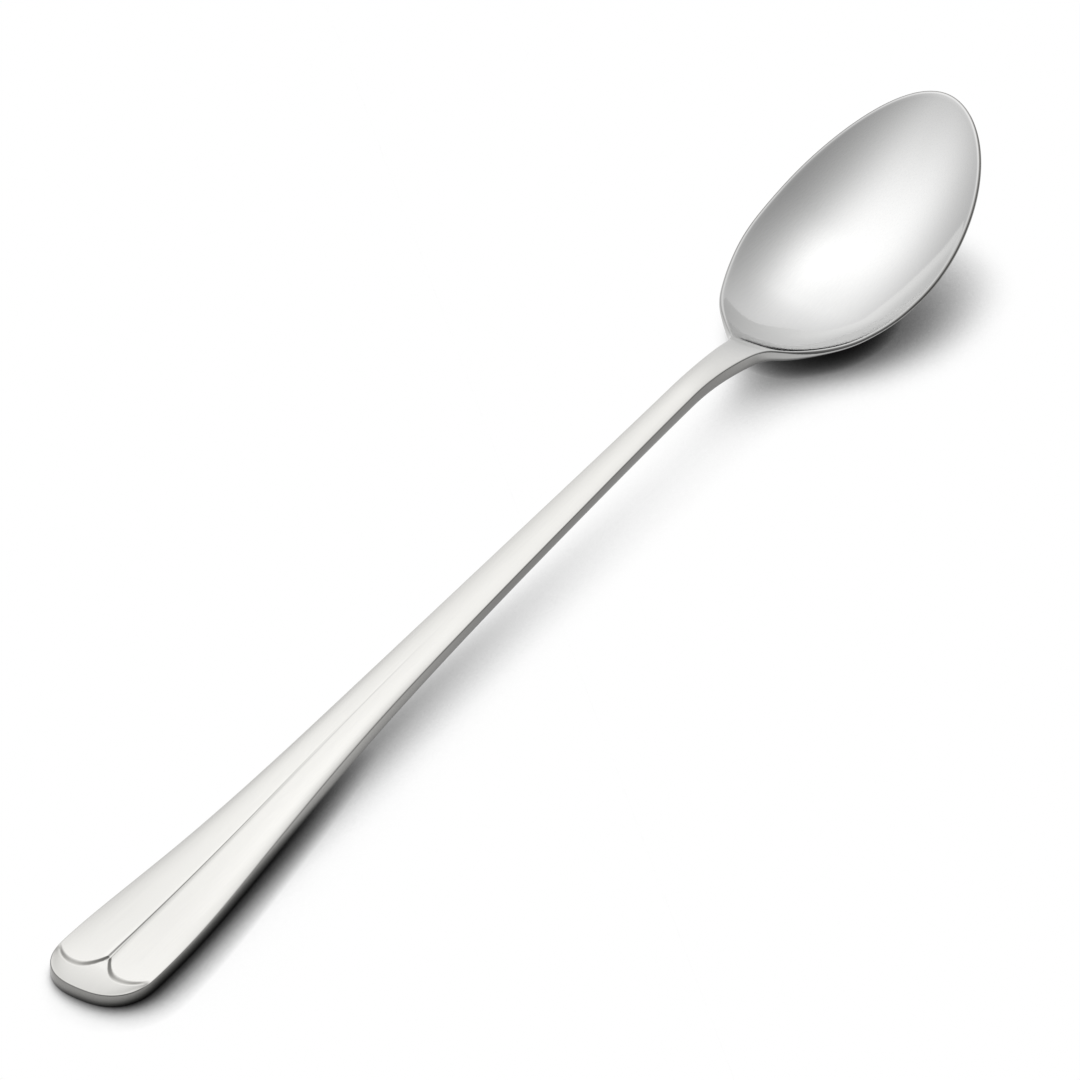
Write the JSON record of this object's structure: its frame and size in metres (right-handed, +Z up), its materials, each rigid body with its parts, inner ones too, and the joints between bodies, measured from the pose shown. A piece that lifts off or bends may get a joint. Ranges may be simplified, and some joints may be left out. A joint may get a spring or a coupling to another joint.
{
  "type": "teaspoon",
  "caption": "Long-handled satin steel teaspoon with an egg-shaped bowl, a slim arched stem and a broad handle with raised tongues.",
  "frame": {"origin": "on the table plane, under the middle of the spoon's length, with the spoon lying on its back", "axes": "+X from the handle's end towards the bowl's tip, +Y across the spoon, +Z up out of the bowl"},
  "size_m": [0.19, 0.0266, 0.0169],
  "materials": {
    "satin_steel": "satin"
  },
  "bodies": {
    "root": {"bowl": "satin_steel", "neck": "satin_steel", "stem": "satin_steel", "handle": "satin_steel", "handle_end": "satin_steel"}
  },
  "joints": []
}
